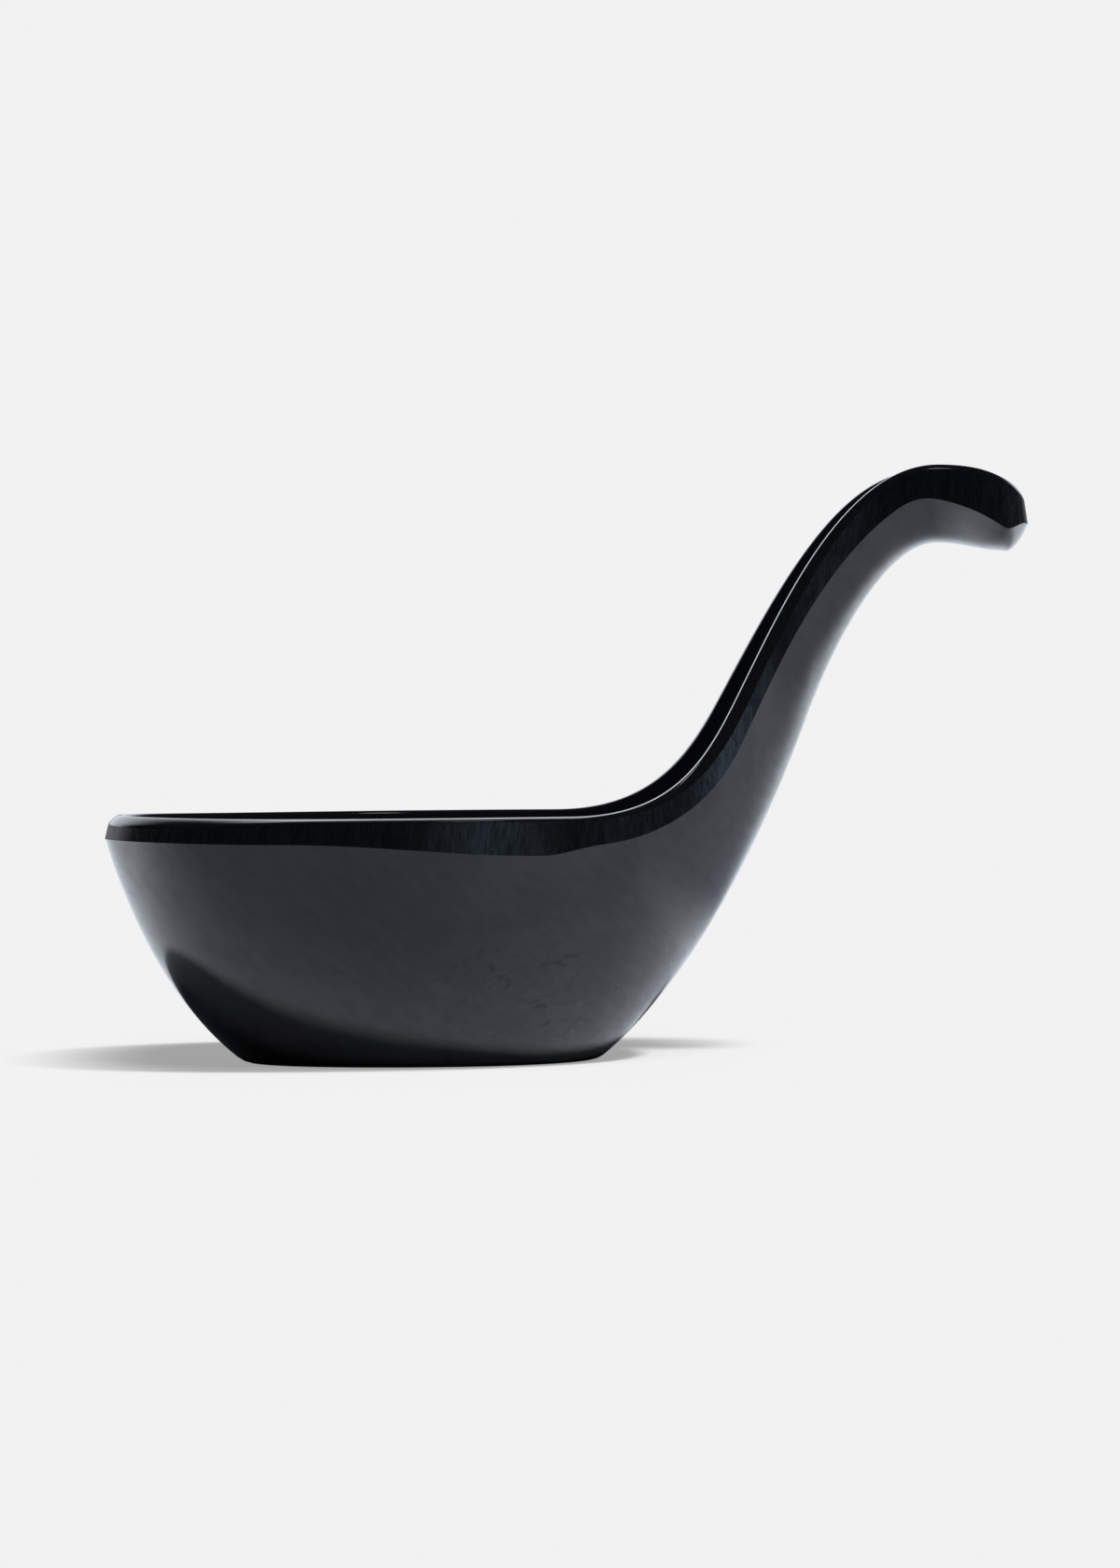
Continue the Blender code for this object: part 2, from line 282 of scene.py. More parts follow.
def groundOutline(steps=6000):
    # where the upright band cuts the moulded hull, eased into a round tip
    hullKeel = keelLine(0.0, bandFoot, (0.0, 0.0, 0.0, 0.0))
    x = spoonLength * (1 - np.cos(np.linspace(0.0, math.pi, steps))) / 2
    keel = np.interp(x, hullKeel[:, 0], hullKeel[:, 1])
    cutHeight = rimHeight(x) - bandForm["front"] * uprightShare(x)
    share = (cutHeight - keel) / (rimHeight(x) - keel)
    cut = mouldedHalfWidth(x) * np.sqrt(np.clip(share, 0.0, None))
    tipRound = planForm["tipRound"]
    pastShoulder = np.clip((x - spoonLength + tipRound) / tipRound, 0.0, 1.0)
    tip = planForm["tipWidth"] / 2 * np.sqrt(1 - pastShoulder ** 2)
    return x, cut + (tip - cut) * easeAlong(x, [(neckAt, 0.0), (hookAt, 1.0)])


outlineX, outlineHalf = groundOutline()


def halfWidth(inset, x):
    along = np.gradient(outlineX)
    out = np.gradient(outlineHalf)
    out[[0, -1]] = 1.0, -1.0
    along[[0, -1]] = 0.0
    size = np.hypot(along, out)
    movedX = outlineX + inset * out / size
    movedHalf = outlineHalf - inset * along / size
    movedHalf[[0, -1]] = 0.0
    return np.sqrt(np.interp(x, movedX, movedHalf ** 2))


print("lines: spoon is %.1f mm long, rim at %.1f mm" % (spoonLength, rimLineForm["height"]))

# Mesh helpers

meshSteps = {"nose": 36, "foot": 60, "neck": 150, "tip": 48}
meshFinish = {"weld": 0.0005, "sharpAngle": 24.0}    # millimetres and degrees


def stationsAlong(nose, footFront, footBack, tip):
    bend = tip - rimLineForm["tipReach"]
    noseSteps = np.linspace(0.0, 1.0, meshSteps["nose"], endpoint=False) ** 2
    footSteps = (1 - np.cos(np.linspace(0.0, math.pi, meshSteps["foot"], endpoint=False))) / 2
    neckSteps = np.linspace(0.0, 1.0, meshSteps["neck"], endpoint=False)
    tipSteps = 1 - np.linspace(1.0, 0.0, meshSteps["tip"] + 1) ** 2
    return np.concatenate([
        nose + (footFront - nose) * noseSteps,
        footFront + (footBack - footFront) * footSteps,
        footBack + (bend - footBack) * neckSteps,
        bend + (tip - bend) * tipSteps,
    ])


def ringLoop(x, half, z):
    # along one side of the spoon and back along the other
    there = np.column_stack((x - spoonLength / 2, half, z))
    back = there[-2:0:-1] * (1, -1, 1)
    return np.concatenate((there, back)) * mm


def softFloor(level, floor, rounding):
    over = level - floor
    turn = np.clip(over + rounding, 0.0, None) ** 2 / (4 * rounding)
    return floor + np.where(over > rounding, over, turn)


def faceLoops(inset, top, rise, floor, rounding, rails):
    # loops of one face from its upper edge down to its keel and flat floor
    keel = keelLine(inset, top, rise)
    flat = floor - rounding
    under = np.flatnonzero(keel[:, 1] < flat)
    before = keel[[under[0], under[0] - 1]]
    after = keel[[under[-1], under[-1] + 1]]
    footFront = np.interp(flat, before[:, 1], before[:, 0])
    footBack = np.interp(flat, after[:, 1], after[:, 0])
    x = stationsAlong(inset, footFront, footBack, spoonLength - inset)
    edgeHalf = halfWidth(inset, x)
    edgeHeight = top(x)
    keelHeight = np.minimum(np.interp(x, keel[:, 0], keel[:, 1]), edgeHeight)
    onFloor = np.zeros(len(x), dtype=bool)
    onFloor[meshSteps["nose"] + 1:meshSteps["nose"] + meshSteps["foot"]] = True
    lowest = np.where(onFloor, flat, keelHeight)
    span = np.where(onFloor, edgeHeight - keelHeight, 1.0)
    loops = []
    for down in np.linspace(1.0, 0.0, rails + 1):
        level = lowest + (edgeHeight - lowest) * down ** 2
        share = np.where(onFloor, (level - keelHeight) / span, down ** 2)
        loops.append(ringLoop(x, edgeHalf * np.sqrt(share), softFloor(level, floor, rounding)))
    return loops, x


def floorCorners(row):
    first = meshSteps["nose"]
    last = first + meshSteps["foot"]
    return row[first:last + 1] + [row[len(row) - i] for i in range(last - 1, first, -1)]


def bridgeRows(mesh, first, second, slot):
    count = len(first)
    for i in range(count):
        j = (i + 1) % count
        face = mesh.faces.new((first[i], first[j], second[j], second[i]))
        face.material_index = slot


def closeFloor(mesh, corners, sink):
    # rings that step in to the middle; sink is a list of inset and lift in millimetres
    places = np.array([corner.co[:] for corner in corners])
    middle = (places.max(axis=0) + places.min(axis=0)) / 2
    reach = (places.max(axis=0) - places.min(axis=0)) / 2
    ring = corners
    for inset, lift in sink:
        scale = 1 - np.array((inset * mm / reach[0], inset * mm / reach[1], 0.0))
        inner = [mesh.verts.new(middle + (p - middle) * scale + (0, 0, lift * mm)) for p in places]
        bridgeRows(mesh, ring, inner, 0)
        ring = inner
    mesh.faces.new(ring)


def makePiece(name, loops, slots, startSink, endSink, materials):
    mesh = bmesh.new()
    rows = [[mesh.verts.new(point) for point in points] for points in loops]
    for first, second, slot in zip(rows, rows[1:], slots):
        bridgeRows(mesh, first, second, slot)
    closeFloor(mesh, floorCorners(rows[0]), startSink)
    closeFloor(mesh, floorCorners(rows[-1]), endSink)
    bmesh.ops.remove_doubles(mesh, verts=mesh.verts, dist=meshFinish["weld"] * mm)
    bmesh.ops.recalc_face_normals(mesh, faces=mesh.faces)
    data = bpy.data.meshes.new(name)
    mesh.to_mesh(data)
    mesh.free()
    data.shade_smooth()
    data.set_sharp_from_angle(angle=math.radians(meshFinish["sharpAngle"]))
    for material in materials:
        data.materials.append(material)
    piece = bpy.data.objects.new(name, data)
    bpy.context.collection.objects.link(piece)
    return piece


# Node helpers and the marks that the finishes share


def addNode(tree, kind, place, **values):
    node = tree.nodes.new(kind)
    node.location = place
    for key, value in values.items():
        setattr(node, key, value)
    return node


def groupOf(name, inputs, outputs):
    tree = bpy.data.node_groups.new(name, "ShaderNodeTree")
    for label, kind, value in inputs:
        socket = tree.interface.new_socket(label, in_out="INPUT", socket_type=kind)
        socket.default_value = value
    for label, kind in outputs:
        tree.interface.new_socket(label, in_out="OUTPUT", socket_type=kind)
    inside = addNode(tree, "NodeGroupInput", (-900, 0))
    outside = addNode(tree, "NodeGroupOutput", (700, 0))
    return tree, inside, outside


def noiseNode(tree, place, where, scale, detail, roughness, distortion=0.0):
    node = addNode(tree, "ShaderNodeTexNoise", place)
    node.inputs["Scale"].default_value = scale
    node.inputs["Detail"].default_value = detail
    node.inputs["Roughness"].default_value = roughness
    node.inputs["Distortion"].default_value = distortion
    tree.links.new(where, node.inputs["Vector"])
    return node.outputs["Fac"]


def fieldNode(tree, place, where, size, turn=(0.0, 0.0, 0.0), middle=(0.0, 0.0, 0.0)):
    # places counted in lengths of one mark, along the mark's own axes
    node = addNode(tree, "ShaderNodeMapping", place, vector_type="TEXTURE")
    node.inputs["Location"].default_value = middle
    node.inputs["Rotation"].default_value = turn
    node.inputs["Scale"].default_value = size
    tree.links.new(where, node.inputs["Vector"])
    return node.outputs["Vector"]


def reachNode(tree, place, where, size, middle):
    # distance from a place, in shares of the reach along each axis
    far = addNode(tree, "ShaderNodeVectorMath", (place[0] + 200, place[1]), operation="LENGTH")
    tree.links.new(fieldNode(tree, place, where, size, middle=middle), far.inputs[0])
    return far.outputs["Value"]


def setOrLink(tree, socket, value):
    if isinstance(value, bpy.types.NodeSocket):
        tree.links.new(value, socket)
    else:
        socket.default_value = value


def mixNode(tree, place, kind, factor, first, second):
    node = addNode(tree, "ShaderNodeMix", place, data_type=kind)
    for label, value in (("Factor", factor), ("A", first), ("B", second)):
        setOrLink(tree, node.inputs[label], value)
    return node.outputs["Result"]


def mathNode(tree, place, operation, *values):
    node = addNode(tree, "ShaderNodeMath", place, operation=operation)
    for socket, value in zip(node.inputs, values):
        setOrLink(tree, socket, value)
    return node.outputs["Value"]


def easeNode(tree, place, value, low, high, toLow=0.0, toHigh=1.0):
    node = addNode(tree, "ShaderNodeMapRange", place, interpolation_type="SMOOTHSTEP")
    for label, limit in (("From Min", low), ("From Max", high), ("To Min", toLow), ("To Max", toHigh)):
        node.inputs[label].default_value = limit
    tree.links.new(value, node.inputs["Value"])
    return node.outputs["Result"]


handling = {                 # sizes and places in metres, turns in radians
    "cloudScale": 70.0,      # per metre
    "cloudEdge": (0.42, 0.60),
    "grainSize": (0.0030, 0.0030, 0.0011),
    "grainTurn": (0.0, 0.7, 0.0),
    "grainShare": 0.5,
    "touchedAt": (-0.006, -0.021, 0.009),
    "touchedReach": (0.019, 0.019, 0.010),
    "touchedEdge": (1.1, 0.5),               # in shares of the reach
    "smudgeSize": (0.0038, 0.0038, 0.0015),
    "smudgeTurn": (0.0, -0.35, 0.0),
    "smudgeEdge": (0.49, 0.66),
}


def handlingMarksGroup():
    # wiping clouds that dull the gloss a little, and a few brownish fingertip smudges
    tree, inside, outside = groupOf(
        "handlingMarks",
        [
            ("Vector", "NodeSocketVector", (0.0, 0.0, 0.0)),
            ("Clean Roughness", "NodeSocketFloat", 0.06),
            ("Smeared Roughness", "NodeSocketFloat", 0.2),
            ("Clean Colour", "NodeSocketColor", (0.004, 0.004, 0.005, 1.0)),
            ("Film Colour", "NodeSocketColor", (0.012, 0.012, 0.013, 1.0)),
            ("Cloud Depth", "NodeSocketFloat", 0.3),
            ("Smudge Depth", "NodeSocketFloat", 0.6),
        ],
        [("Colour", "NodeSocketColor"), ("Roughness", "NodeSocketFloat"), ("Gloss", "NodeSocketFloat")],
    )
    link = tree.links.new
    where = inside.outputs["Vector"]
    cloud = noiseNode(tree, (-650, 300), where, handling["cloudScale"], 6.0, 0.6, distortion=0.6)
    grainWay = fieldNode(tree, (-860, 60), where, handling["grainSize"], handling["grainTurn"])
    grain = noiseNode(tree, (-650, 60), grainWay, 1.0, 4.0, 0.65)
    both = mixNode(tree, (-430, 200), "FLOAT", handling["grainShare"], cloud, grain)
    clouds = easeNode(tree, (-230, 200), both, *handling["cloudEdge"])
    cloudLoss = mathNode(tree, (-30, 200), "MULTIPLY", clouds, inside.outputs["Cloud Depth"])

    touched = reachNode(tree, (-860, -120), where, handling["touchedReach"], handling["touchedAt"])
    area = easeNode(tree, (-430, -120), touched, *handling["touchedEdge"])
    smudgeWay = fieldNode(tree, (-860, -380), where, handling["smudgeSize"], handling["smudgeTurn"])
    dabs = noiseNode(tree, (-650, -380), smudgeWay, 1.0, 6.0, 0.72, distortion=1.2)
    spots = easeNode(tree, (-430, -380), dabs, *handling["smudgeEdge"])
    smudge = mathNode(tree, (-230, -250), "MULTIPLY", area, spots)
    smudgeLoss = mathNode(tree, (-30, -250), "MULTIPLY", smudge, inside.outputs["Smudge Depth"])

    loss = mathNode(tree, (150, 100), "MAXIMUM", cloudLoss, smudgeLoss)
    link(mathNode(tree, (350, 200), "SUBTRACT", 1.0, loss), outside.inputs["Gloss"])
    clean = inside.outputs["Clean Colour"]
    film = inside.outputs["Film Colour"]
    link(mixNode(tree, (350, 0), "RGBA", smudge, clean, film), outside.inputs["Colour"])
    cleanRough = inside.outputs["Clean Roughness"]
    smearRough = inside.outputs["Smeared Roughness"]
    link(mixNode(tree, (350, -200), "FLOAT", loss, cleanRough, smearRough), outside.inputs["Roughness"])
    return tree


handlingMarks = handlingMarksGroup()


def startMaterial(name):
    material = bpy.data.materials.new(name)
    material.use_nodes = True
    tree = material.node_tree
    shader = tree.nodes["Principled BSDF"]
    place = addNode(tree, "ShaderNodeTexCoord", (-1300, 0))
    return material, tree, shader, place.outputs["Object"]


polishedBlack = {
    "clean": (0.0035, 0.0036, 0.0042, 1.0),
    "film": (0.0110, 0.0088, 0.0075, 1.0),
    "ior": 1.6,
}


def polishedMaterial(name, form):
    material, tree, shader, place = startMaterial(name)
    link = tree.links.new
    marks = addNode(tree, "ShaderNodeGroup", (-500, 100), node_tree=handlingMarks)
    link(place, marks.inputs["Vector"])
    for label, value in (
        ("Clean Roughness", form["cleanRough"]),
        ("Smeared Roughness", form["smearRough"]),
        ("Clean Colour", polishedBlack["clean"]),
        ("Film Colour", polishedBlack["film"]),
        ("Cloud Depth", form["clouds"]),
        ("Smudge Depth", form["smudges"]),
    ):
        marks.inputs[label].default_value = value
    link(marks.outputs["Colour"], shader.inputs["Base Color"])
    link(marks.outputs["Roughness"], shader.inputs["Roughness"])
    link(marks.outputs["Gloss"], shader.inputs["Coat Weight"])
    shader.inputs["IOR"].default_value = polishedBlack["ior"]
    shader.inputs["Coat Roughness"].default_value = form["coatRough"]
    shader.inputs["Coat IOR"].default_value = polishedBlack["ior"]
    return material


# Outer body: the shell that stands on the table

outerBody = {
    "wall": 1.5,
    "footRound": 0.8,
    "footRing": 3.0,
    "footRecess": 0.5,
    "socketRound": 1.5,
    "floorHold": 0.3,        # narrow ring beside an edge of the floor, for crisp shading
    "faceRails": 30,
    "socketRails": 10,
    "cleanRough": 0.07,
    "smearRough": 0.24,
    "coatRough": 0.095,
    "clouds": 0.30,
    "smudges": 0.75,
}

bodyPolish = polishedMaterial("bodyPolish", outerBody)
bodyWall = outerBody["wall"]
bodyFloor = outerBody["footRecess"] + bodyWall
outside, outerX = faceLoops(0.0, bandFoot, (0.0,) * 4, 0.0, outerBody["footRound"], outerBody["faceRails"])
socket, _ = faceLoops(
    bodyWall, bandFoot, (bodyWall,) * 4, bodyFloor, outerBody["socketRound"], outerBody["socketRails"]
)
ringIn = outerBody["footRing"]
recess = outerBody["footRecess"]
bodyHold = outerBody["floorHold"]
spoonBody = makePiece(
    "spoonBody",
    outside[::-1] + socket,
    [0] * (len(outside) + len(socket) - 1),
    [
        (ringIn - bodyHold, 0.0),
        (ringIn, 0.0),
        (ringIn + recess, recess),
        (ringIn + recess + bodyHold, recess),
    ],
    [(bodyHold, 0.0)],
    [bodyPolish],
)
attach(spoonBody, "root")
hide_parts("outer_body")
print("outer body: %d faces" % len(spoonBody.data.polygons))

# Inner lining: inside of the bowl, the handle's channel, the rim and its ground band

innerLining = {
    "wall": 3.0,             # from the outer face to the inside, down the bowl
    "neckFloor": 4.2,
    "hookFloor": 5.4,
    "tipFloor": 5.0,
    "bowlFloor": 3.6,
    "bowlRound": 3.0,
    "layerGap": 0.3,
    "seatGap": 0.02,         # closes the line that shows below the band
    "floorHold": 0.4,
    "floorRing": 2.0,
    "bandHold": 0.9,         # share of the band's height
    "faceRails": 26,
    "backRails": 8,
    "rimRails": 14,
    "edgeRails": 6,
    "cornerRails": 5,
    "cleanRough": 0.08,
    "smearRough": 0.2,
    "coatRough": 0.09,
    "clouds": 0.15,
    "smudges": 0.5,
}

groundBand = {
    "dark": (0.0010, 0.0012, 0.0016, 1.0),
    # painted sheen: the band's reflection of the light, painted as a bluish colour
    "paintedSheen": (0.0300, 0.0410, 0.0560, 1.0),
    "thin": 0.045,           # share of the painted sheen outside its stretches
    "sheenStretches": [                # middle and reach along the spoon in millimetres, share of the painted sheen
        (-11.5, 11.5, 0.42),
        (8.0, 12.0, 0.14),
        (20.0, 8.5, 0.66),
        (33.0, 9.0, 0.24),
    ],
    "rough": (0.20, 0.38),
    "roughEdge": (0.34, 0.66),
    "streak": (0.5, 1.5),
    "streakEdge": (0.36, 0.64),
    "line": (0.00024, 0.00024, 0.0090),      # metres
    "lineTurn": (0.0, 0.15, 0.0),            # radians
    "broadScale": 0.22,
    "broadShare": 0.35,
    "depth": 0.000010,
}


def groundBandMaterial():
    # fine upright lines left by the grinding wheel, in a painted sheen that stands in for the band's
    # reflection of the light and comes and goes along the rim
    material, tree, shader, place = startMaterial("groundBand")
    link = tree.links.new
    lineWay = fieldNode(tree, (-1080, 0), place, groundBand["line"], groundBand["lineTurn"])
    fine = noiseNode(tree, (-860, 120), lineWay, 1.0, 4.0, 0.7)
    broad = noiseNode(tree, (-860, -120), lineWay, groundBand["broadScale"], 2.0, 0.5)
    lines = mixNode(tree, (-640, 0), "FLOAT", groundBand["broadShare"], fine, broad)
    streak = easeNode(tree, (-420, 0), lines, *groundBand["streakEdge"], *groundBand["streak"])

    parts = addNode(tree, "ShaderNodeSeparateXYZ", (-1080, 400))
    link(place, parts.inputs["Vector"])
    share = None
    for i, (middle, reach, most) in enumerate(groundBand["sheenStretches"]):
        row = 700 - 180 * i
        away = mathNode(tree, (-860, row), "SUBTRACT", parts.outputs["X"], middle * mm)
        far = mathNode(tree, (-680, row), "ABSOLUTE", away)
        stretch = easeNode(tree, (-500, row), far, reach * mm, 0.0, groundBand["thin"], most)
        share = stretch if share is None else mathNode(tree, (-320, row), "MAXIMUM", share, stretch)
    # painted sheen: a reflection of the light, painted into the band's colour by place along the spoon
    paintedSheen = mathNode(tree, (-300, 300), "MULTIPLY", share, streak)
    colour = mixNode(tree, (-150, 260), "RGBA", paintedSheen, groundBand["dark"], groundBand["paintedSheen"])
    link(colour, shader.inputs["Base Color"])
    rough = easeNode(tree, (-420, -200), lines, *groundBand["roughEdge"], *groundBand["rough"])
    link(rough, shader.inputs["Roughness"])
    bump = addNode(tree, "ShaderNodeBump", (-200, -260))
    bump.inputs["Strength"].default_value = 1.0
    bump.inputs["Distance"].default_value = groundBand["depth"]
    link(fine, bump.inputs["Height"])
    link(bump.outputs["Normal"], shader.inputs["Normal"])
    shader.inputs["IOR"].default_value = polishedBlack["ior"]
    return material


def bandFace(x):
    return bandFoot(x) + innerLining["seatGap"]


def liningSeat(x):
    return bandFoot(x) + innerLining["layerGap"] * uprightShare(x)


def rimLoops(outerX, innerX):
    lean = bandForm["lean"]
    crest = rimForm["width"] - rimForm["innerEdge"]
    soft = rimForm["outerEdge"]
    loops = []

    def addLoop(inset, drop):
        x = outerX + (innerX - outerX) * inset / rimForm["width"]
        loops.append(ringLoop(x, halfWidth(inset, x), rimHeight(x) - drop(x)))

    # corner between the upright band and the rim's top, softened
    def cornerDrop(t):
        def drop(x):
            corner = rimFall(x, 0.0)
            below = corner + soft * uprightShare(x)
            above = rimFall(x, soft / (crest - lean))
            return (1 - t) ** 2 * below + 2 * (1 - t) * t * corner + t * t * above
        return drop

    for t in np.linspace(0.0, 1.0, innerLining["cornerRails"] + 1):
        addLoop(lean + soft * t * t, cornerDrop(t))
    for step in np.linspace(soft / (crest - lean), 1.0, innerLining["rimRails"] + 1)[1:]:
        addLoop(lean + (crest - lean) * step, lambda x: rimFall(x, step))
    for turn in np.linspace(0.0, math.pi / 2, innerLining["edgeRails"] + 1)[1:-1]:
        turned = rimForm["innerEdge"] * (1 - math.cos(turn))
        addLoop(crest + rimForm["innerEdge"] * math.sin(turn), lambda x: turned * uprightShare(x))
    return loops


liningPolish = polishedMaterial("liningPolish", innerLining)
channelRise = tuple(innerLining[key] for key in ("wall", "neckFloor", "hookFloor", "tipFloor"))
inside, innerX = faceLoops(
    rimForm["width"], insideEdge, channelRise, innerLining["bowlFloor"], innerLining["bowlRound"],
    innerLining["faceRails"],
)
seatInset = bodyWall + innerLining["layerGap"]
back, _ = faceLoops(
    seatInset, liningSeat, (seatInset,) * 4, bodyFloor + innerLining["layerGap"], outerBody["socketRound"],
    innerLining["backRails"],
)
rim = rimLoops(outerX, innerX)
bandLow = ringLoop(outerX, halfWidth(0.0, outerX), bandFace(outerX))
bandHold = bandLow + (rim[0] - bandLow) * innerLining["bandHold"]
liningLoops = inside[::-1] + rim[::-1] + [bandHold, bandLow] + back
bandRow = len(inside) + len(rim) - 1
liningSlots = [0] * (len(liningLoops) - 1)
liningSlots[bandRow:bandRow + 2] = [1, 1]
spoonLining = makePiece(
    "spoonLining",
    liningLoops,
    liningSlots,
    [(innerLining["floorHold"], 0.0), (innerLining["floorRing"], 0.0)],
    [(innerLining["floorHold"], 0.0)],
    [liningPolish, groundBandMaterial()],
)
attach(spoonLining, "root")
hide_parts("inner_lining")
print("inner lining: %d faces" % len(spoonLining.data.polygons))

# Set: pale floor, white surround, soft lamps

studioSet = {
    "floorSize": 60.0,
    "floorTone": 0.9,
    "whiteTone": 0.885,
    "shadowLift": 0.4,               # share of plain white laid over the floor's shadows
    "shadowMiddle": (-0.022, 0.012, 0.0),
    "shadowReach": (0.042, 0.050, 1.0),
    "shadowInGloss": (0.060, 0.050, 1.0),
    "shadowFade": (0.75, 1.3),       # in shares of the reach
    # painted light on the floor as gloss sees it: darker on the left, lighter to the right and behind
    "glossLeft": (0.25, 0.26, 0.32, 1.0),
    "glossRight": (0.39, 0.41, 0.485, 1.0),
    "glossBehind": (0.86, 0.92, 1.0, 1.0),
    "glossBeside": (0.29, 0.315, 0.365, 1.0),
    "glossSpan": (-0.050, 0.030),
    "besideSpan": (0.032, 0.062),
    "behindSpan": (-0.040, 0.030),
    "farSpan": (0.030, 0.120),
    "frontFade": (-0.17, -0.08),     # gloss sees the floor's near edge run out into the room
    "roomTone": (0.010, 0.011, 0.014, 1.0),
    "ambient": 0.012,
}

mainLamp = {"from": (0.51, -0.34, 1.0), "power": 2.80, "spread": 6.0, "inGloss": False}
wideLamp = {"from": (0.36, -0.43, 1.0), "power": 0.63, "spread": 30.0, "inGloss": False}
topLamp = {"from": (0.13, -0.51, 1.0), "power": 0.050, "spread": 8.0, "inGloss": True}


def greyOf(tone):
    return (tone, tone, tone, 1.0)


def floorInGloss(tree, place):
    # tone of the floor as gloss sees it, painted light set by place rather than by the lamps: dim in
    # front, lighter to the right, white behind the spoon
    parts = addNode(tree, "ShaderNodeSeparateXYZ", (-1100, -200))
    tree.links.new(place, parts.inputs["Vector"])
    along = parts.outputs["X"]
    deep = parts.outputs["Y"]
    across = easeNode(tree, (-900, -200), along, *studioSet["glossSpan"])
    front = mixNode(tree, (-650, -200), "RGBA", across, studioSet["glossLeft"], studioSet["glossRight"])
    inFront = easeNode(tree, (-900, -350), deep, *studioSet["frontFade"])
    nearTone = mixNode(tree, (-500, -300), "RGBA", inFront, studioSet["roomTone"], front)
    beside = easeNode(tree, (-900, -500), along, *studioSet["besideSpan"])
    backTone = mixNode(
        tree, (-650, -500), "RGBA", beside, studioSet["glossBehind"], studioSet["glossBeside"]
    )
    behind = easeNode(tree, (-900, -650), deep, *studioSet["behindSpan"])
    rising = mixNode(tree, (-400, -400), "RGBA", behind, nearTone, backTone)
    farOut = easeNode(tree, (-900, -800), deep, *studioSet["farSpan"])
    return mixNode(tree, (-250, -400), "RGBA", farOut, rising, studioSet["glossBehind"])


def paleFloor():
    # takes the spoon's shadow near it and runs out into plain white
    half = studioSet["floorSize"] / 2
    data = bpy.data.meshes.new("paleFloor")
    corners = [(-half, -half, 0), (half, -half, 0), (half, half, 0), (-half, half, 0)]
    data.from_pydata(corners, [], [(0, 1, 2, 3)])
    floor = bpy.data.objects.new("paleFloor", data)
    bpy.context.collection.objects.link(floor)
    material, tree, shader, place = startMaterial("paleFloor")
    link = tree.links.new
    rays = addNode(tree, "ShaderNodeLightPath", (-1300, 500))
    seen = rays.outputs["Is Camera Ray"]
    inGloss = rays.outputs["Is Glossy Ray"]
    glossTone = floorInGloss(tree, place)
    tone = mixNode(tree, (-200, -100), "RGBA", inGloss, greyOf(studioSet["floorTone"]), glossTone)
    link(tone, shader.inputs["Base Color"])
    shader.inputs["Roughness"].default_value = 1.0
    shader.inputs["Specular IOR Level"].default_value = 0.0

    white = addNode(tree, "ShaderNodeEmission", (-100, -600))
    glow = mixNode(tree, (-300, -600), "RGBA", inGloss, greyOf(studioSet["whiteTone"]), glossTone)
    link(glow, white.inputs["Color"])

    away = reachNode(tree, (-1100, 200), place, studioSet["shadowReach"], studioSet["shadowMiddle"])
    lifted = easeNode(tree, (-650, 450), away, *studioSet["shadowFade"], studioSet["shadowLift"], 1.0)
    awayInGloss = reachNode(tree, (-1100, 0), place, studioSet["shadowInGloss"], studioSet["shadowMiddle"])
    far = easeNode(tree, (-650, 200), awayInGloss, *studioSet["shadowFade"])
    seenShare = mathNode(tree, (-400, 450), "MULTIPLY", lifted, seen)
    glossShare = mathNode(tree, (-400, 200), "MULTIPLY", far, inGloss)
    share = mathNode(tree, (-200, 300), "ADD", seenShare, glossShare)
    both = addNode(tree, "ShaderNodeMixShader", (300, 200))
    link(share, both.inputs["Fac"])
    link(shader.outputs["BSDF"], both.inputs[1])
    link(white.outputs["Emission"], both.inputs[2])
    link(both.outputs["Shader"], tree.nodes["Material Output"].inputs["Surface"])
    material.cycles.emission_sampling = "NONE"
    data.materials.append(material)


surround = {                 # how far gloss sees the white reach, by the parts of the direction
    "behind": (0.40, 0.80),
    "right": (0.75, 0.25),
    "top": (0.62, 0.32),
    "lean": 2.0,             # raises the top to the left
    "foot": (0.04, 0.16),
    "footShare": 0.3,
}


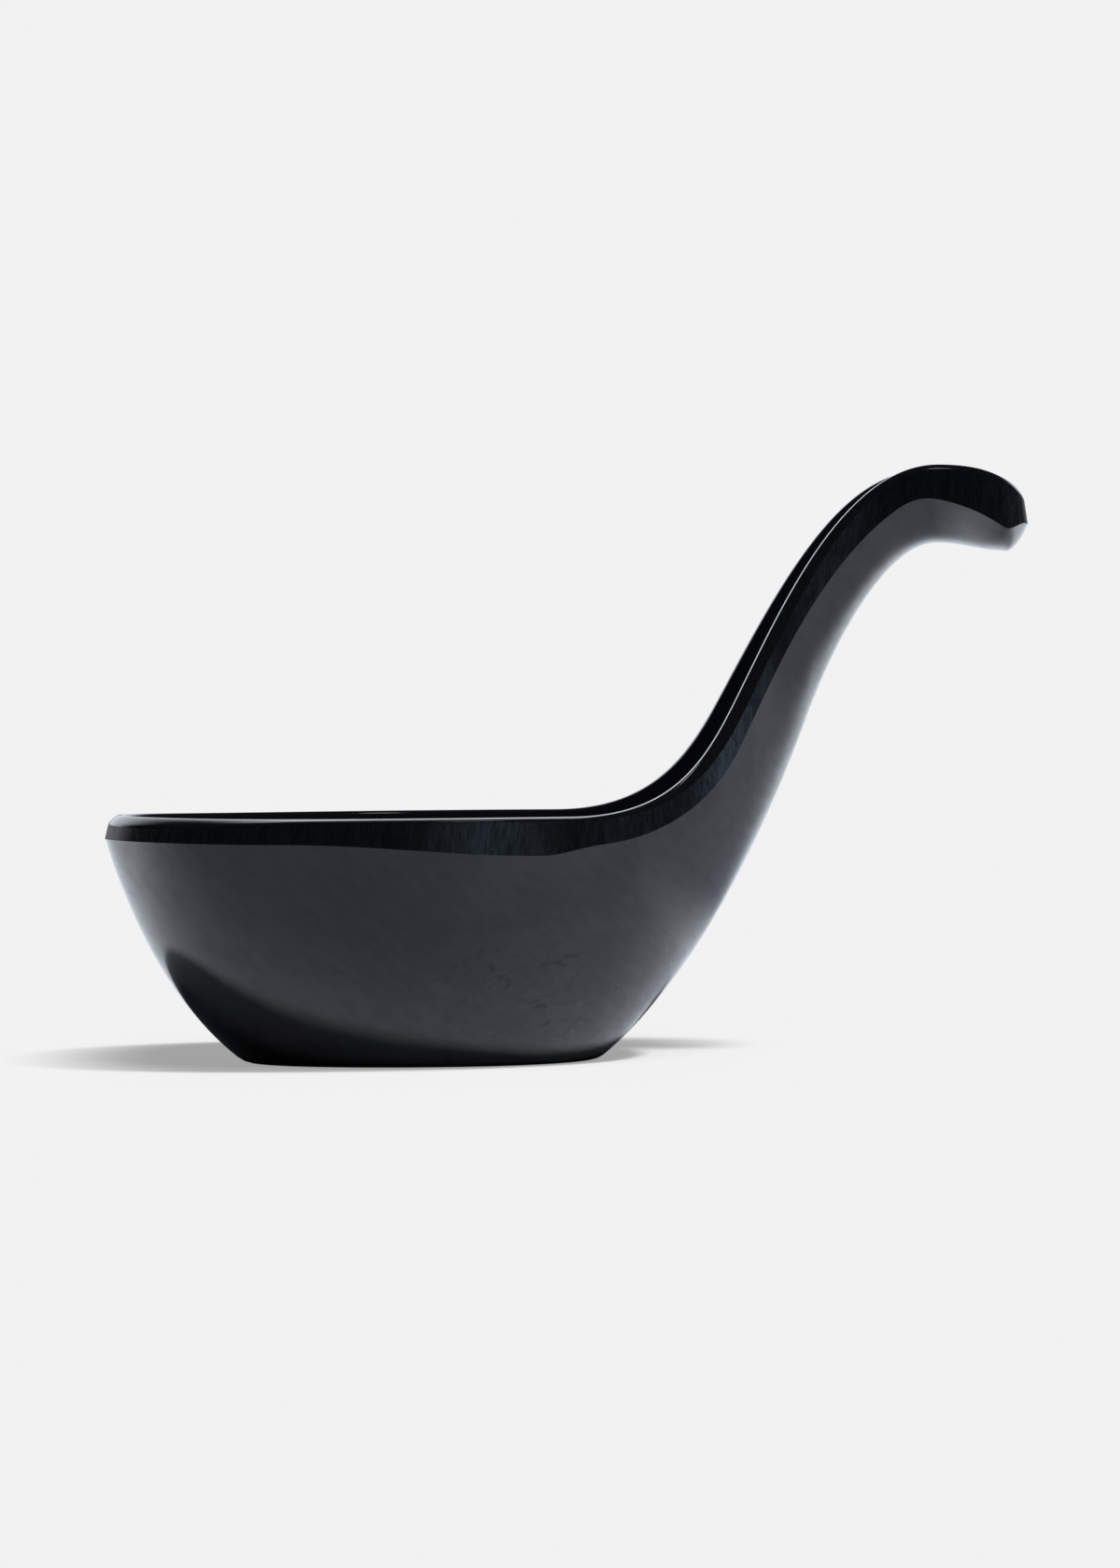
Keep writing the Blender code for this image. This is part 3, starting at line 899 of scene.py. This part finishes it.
def whiteSurround():
    # plain white to the camera; gloss sees white behind the spoon, higher on the left, and a dim room
    world = bpy.data.worlds.new("whiteSurround")
    bpy.context.scene.world = world
    world.use_nodes = True
    tree = world.node_tree
    link = tree.links.new
    way = addNode(tree, "ShaderNodeTexCoord", (-1300, 0)).outputs["Generated"]
    parts = addNode(tree, "ShaderNodeSeparateXYZ", (-1100, 0))
    link(way, parts.inputs["Vector"])
    across = parts.outputs["X"]
    up = parts.outputs["Z"]
    behind = easeNode(tree, (-850, 150), parts.outputs["Y"], *surround["behind"])
    leftward = mathNode(tree, (-1250, -250), "MINIMUM", across, 0.0)
    leaning = mathNode(tree, (-1050, -200), "MULTIPLY_ADD", leftward, surround["lean"], up)
    low = easeNode(tree, (-850, -150), leaning, *surround["top"])
    nearLeft = easeNode(tree, (-850, 320), across, *surround["right"])
    foot = easeNode(tree, (-850, -350), up, *surround["foot"], surround["footShare"], 1.0)
    rise = mathNode(tree, (-720, -250), "MULTIPLY", low, foot)
    wide = mathNode(tree, (-720, 250), "MULTIPLY", behind, nearLeft)
    sweep = mathNode(tree, (-600, 0), "MULTIPLY", wide, rise)
    room = mixNode(tree, (-400, 0), "RGBA", sweep, studioSet["roomTone"], studioSet["glossBehind"])
    rays = addNode(tree, "ShaderNodeLightPath", (-850, 500))
    ambient = greyOf(studioSet["ambient"])
    dim = mixNode(tree, (-150, 0), "RGBA", rays.outputs["Is Diffuse Ray"], room, ambient)
    white = greyOf(studioSet["whiteTone"])
    seen = mixNode(tree, (50, 0), "RGBA", rays.outputs["Is Camera Ray"], dim, white)
    link(seen, tree.nodes["Background"].inputs["Color"])


def softLamp(name, form):
    light = bpy.data.lights.new(name, "SUN")
    light.energy = form["power"]
    light.angle = math.radians(form["spread"])
    lamp = bpy.data.objects.new(name, light)
    lamp.rotation_mode = "QUATERNION"
    lamp.rotation_quaternion = Vector(form["from"]).to_track_quat("Z", "Y")
    lamp.location = Vector(form["from"]).normalized()
    lamp.visible_glossy = form["inGloss"]
    bpy.context.collection.objects.link(lamp)


paleFloor()
whiteSurround()
softLamp("mainLamp", mainLamp)
softLamp("wideLamp", wideLamp)
softLamp("topLamp", topLamp)
bpy.context.scene.view_settings.view_transform = "Standard"
print("set: floor, surround and lamps")

# Camera at the photograph's viewing angle

viewCamera = {
    "from": (-0.0310, -0.5692, 0.04485),
    "turn": 3.0,
    "tilt": 0.915,
    "roll": -0.45,
    "lens": 100.65,
    "filmHeight": 36.0,
    "clip": (0.01, 200.0),
}

cameraData = bpy.data.cameras.new("viewCamera")
cameraData.sensor_fit = "VERTICAL"
cameraData.sensor_height = viewCamera["filmHeight"]
cameraData.lens = viewCamera["lens"]
cameraData.clip_start, cameraData.clip_end = viewCamera["clip"]
camera = bpy.data.objects.new("viewCamera", cameraData)
bpy.context.collection.objects.link(camera)
heading = Matrix.Rotation(-math.radians(viewCamera["turn"]), 4, "Z")
tilting = Matrix.Rotation(math.radians(90.0 - viewCamera["tilt"]), 4, "X")
rolling = Matrix.Rotation(math.radians(viewCamera["roll"]), 4, "Z")
camera.matrix_world = Matrix.Translation(viewCamera["from"]) @ heading @ tilting @ rolling
bpy.context.scene.camera = camera
print("camera: %.0f mm lens" % viewCamera["lens"])
